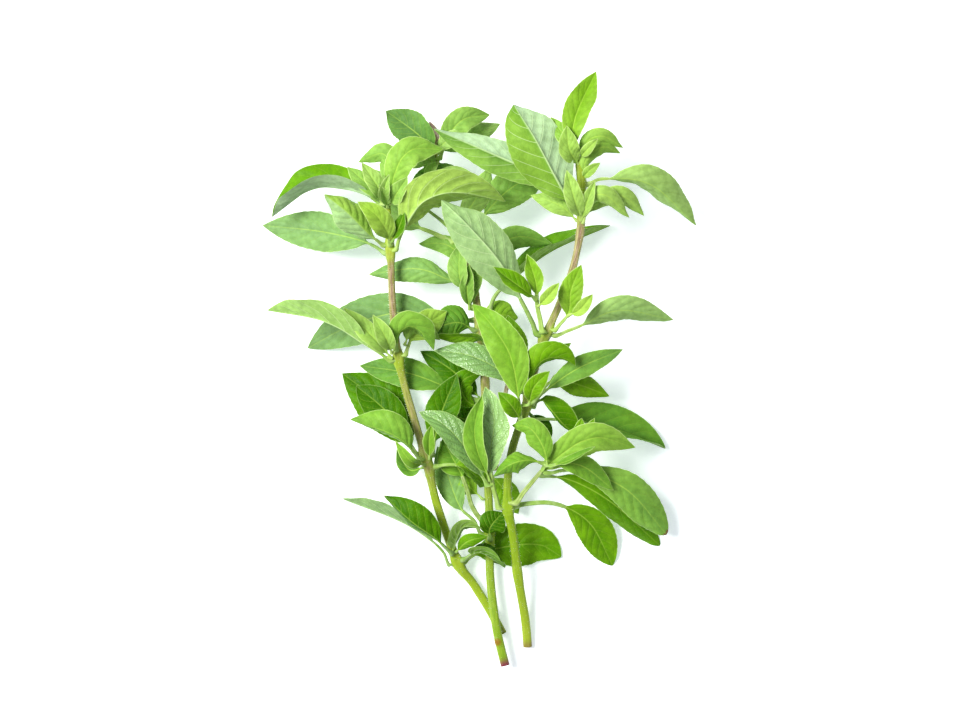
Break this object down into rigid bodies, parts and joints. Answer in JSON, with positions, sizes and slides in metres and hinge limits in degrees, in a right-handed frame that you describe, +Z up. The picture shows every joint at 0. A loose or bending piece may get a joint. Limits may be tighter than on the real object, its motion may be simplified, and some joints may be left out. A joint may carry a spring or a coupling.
{
  "type": "basil bunch",
  "caption": "Loose bunch of cut fresh basil sprigs lying flat, with leafy side shoots and purplish four-sided stems.",
  "frame": {"origin": "centre of the bunch's bounding box, at the surface it lies on", "axes": "+Z up from the surface, +Y along the sprigs from the cut ends to the tips, +X to the right seen from above with the tips away"},
  "size_m": [0.172, 0.2334, 0.0479],
  "materials": {
    "green_stem": "matte, ridged and hairy plant stem",
    "purple_stem": "matte, ridged and hairy plant stem",
    "young_leaf": "satin young leaf",
    "bright_leaf": "satin leaf",
    "dark_leaf": "satin mature leaf",
    "leaf_underside": "matte pale leaf seen from its underside"
  },
  "bodies": {
    "root": {"left_1_dark": "dark_leaf", "left_1_pale": "leaf_underside", "left_1_right": "dark_leaf", "left_2_back": "dark_leaf", "left_2_front": "dark_leaf", "left_2_light": "young_leaf", "left_2_thin": "dark_leaf", "left_2_upright": "bright_leaf", "left_3_arch": "young_leaf", "left_3_pale": "leaf_underside", "left_3_right": "bright_leaf", "left_4_arch": "leaf_underside", "left_4_big": "bright_leaf", "left_4_flat": "young_leaf", "left_4_front": "young_leaf", "left_4_light": "young_leaf", "left_5_arch": "young_leaf", "left_stem": "green_stem", "middle_1_front": "dark_leaf", "middle_1_left": "dark_leaf", "left_1_under": "dark_leaf", "middle_2_left": "dark_leaf", "middle_3_big": "dark_leaf", "middle_3_dark": "dark_leaf", "middle_3_thin": "leaf_underside", "middle_4_left": "dark_leaf", "middle_5_dark": "dark_leaf", "middle_5_far": "dark_leaf", "middle_5_right": "dark_leaf", "middle_6_right": "young_leaf", "middle_6_tip": "dark_leaf", "middle_brown_shoot": "dark_leaf", "middle_left_shoot": "bright_leaf", "middle_low_shoot": "dark_leaf", "middle_right_shoot": "leaf_underside", "middle_stem": "green_stem", "right_1_arch": "young_leaf", "right_1_big": "young_leaf", "right_1_dark": "dark_leaf", "right_1_long_stalk": "bright_leaf", "right_1_pale": "leaf_underside", "right_2_arch": "young_leaf", "right_2_big": "dark_leaf", "right_2_dark": "dark_leaf", "right_2_front": "young_leaf", "right_2_pale": "leaf_underside", "right_2_shiny": "leaf_underside", "right_2_veined": "dark_leaf", "right_3_big": "leaf_underside", "right_3_curved": "dark_leaf", "right_3_right": "bright_leaf", "right_4_long": "leaf_underside", "right_4_right": "bright_leaf", "right_4_wide": "leaf_underside", "right_5_top": "bright_leaf", "right_high_left_shoot": "young_leaf", "right_high_right_shoot": "bright_leaf", "right_low_left_shoot": "dark_leaf", "right_low_right_shoot": "young_leaf", "right_stem": "purple_stem"}
  },
  "joints": []
}
